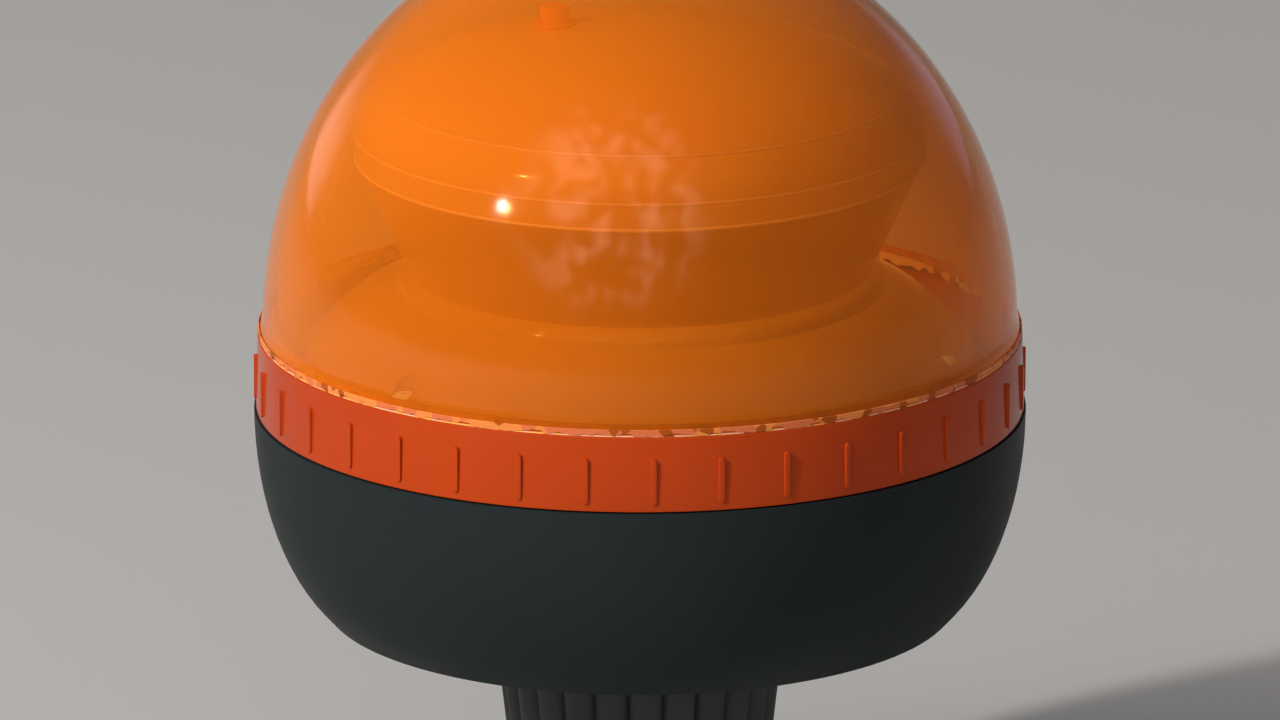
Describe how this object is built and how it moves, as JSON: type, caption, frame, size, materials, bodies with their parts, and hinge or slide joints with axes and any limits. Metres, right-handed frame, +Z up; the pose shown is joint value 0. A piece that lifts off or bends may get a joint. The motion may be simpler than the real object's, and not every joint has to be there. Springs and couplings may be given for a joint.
{
  "type": "pole-mounted beacon",
  "caption": "Amber warning beacon: domed lens on a ribbed twist-off collar over a clear inner optic, bowl-shaped base and a fluted flexible socket that slips onto a pole.",
  "frame": {"origin": "centre of the pole bore at the socket's mouth, in the plane of the socket's lower end", "axes": "+Z up along the bore towards the top of the dome; -Y is the side that the picture shows"},
  "size_m": [0.142, 0.142, 0.1996],
  "materials": {
    "socket_rubber": "matt",
    "sleeve_metal": "satin",
    "carrier_plastic": "matt",
    "contact_brass": "satin",
    "screw_steel": "zinc plated",
    "base_plastic": "fine texture",
    "board_green": "satin",
    "board_white": "satin",
    "component_dark": "satin",
    "coil_copper": "enamel",
    "terminal_green": "satin",
    "wire_red": "satin",
    "wire_brown": "satin",
    "lamp_yellow": "gloss",
    "optic_clear": "clear moulded plastic",
    "vent_orange": "satin",
    "seal_rubber": "matt",
    "collar_red_orange": "gloss",
    "dome_amber": "clear moulded plastic"
  },
  "bodies": {
    "base": {"pole_socket": "socket_rubber", "pole_sleeve": "sleeve_metal", "contact_carrier": "carrier_plastic", "centre_contact": "contact_brass", "earth_tab": "contact_brass", "clamp_bush": "contact_brass", "clamp_screw": "screw_steel", "base_housing": "base_plastic", "socket_plate": "screw_steel", "socket_screws": "screw_steel", "driver_board": "board_green", "board_screws": "screw_steel", "driver_capacitors": "component_dark", "driver_coil": "coil_copper", "terminal_block": "terminal_green", "pin_header": "component_dark", "feed_wire": "wire_red", "earth_wire": "wire_brown", "heat_sink": "sleeve_metal", "lamp_board": "board_white", "lamps_ring": "lamp_yellow", "light_optic": "optic_clear", "optic_cap": "optic_clear", "vent_plug": "vent_orange", "optic_screws": "screw_steel", "lens_seal": "seal_rubber"},
    "lens": {"lens_collar": "collar_red_orange", "lens_dome": "dome_amber"}
  },
  "joints": [
    {"name": "lens_turn", "type": "hinge", "parent": "base", "child": "lens", "pos_m": [0, 0, 0.108], "axis": [0, 0, 1], "range_deg": [0, 26]}
  ]
}
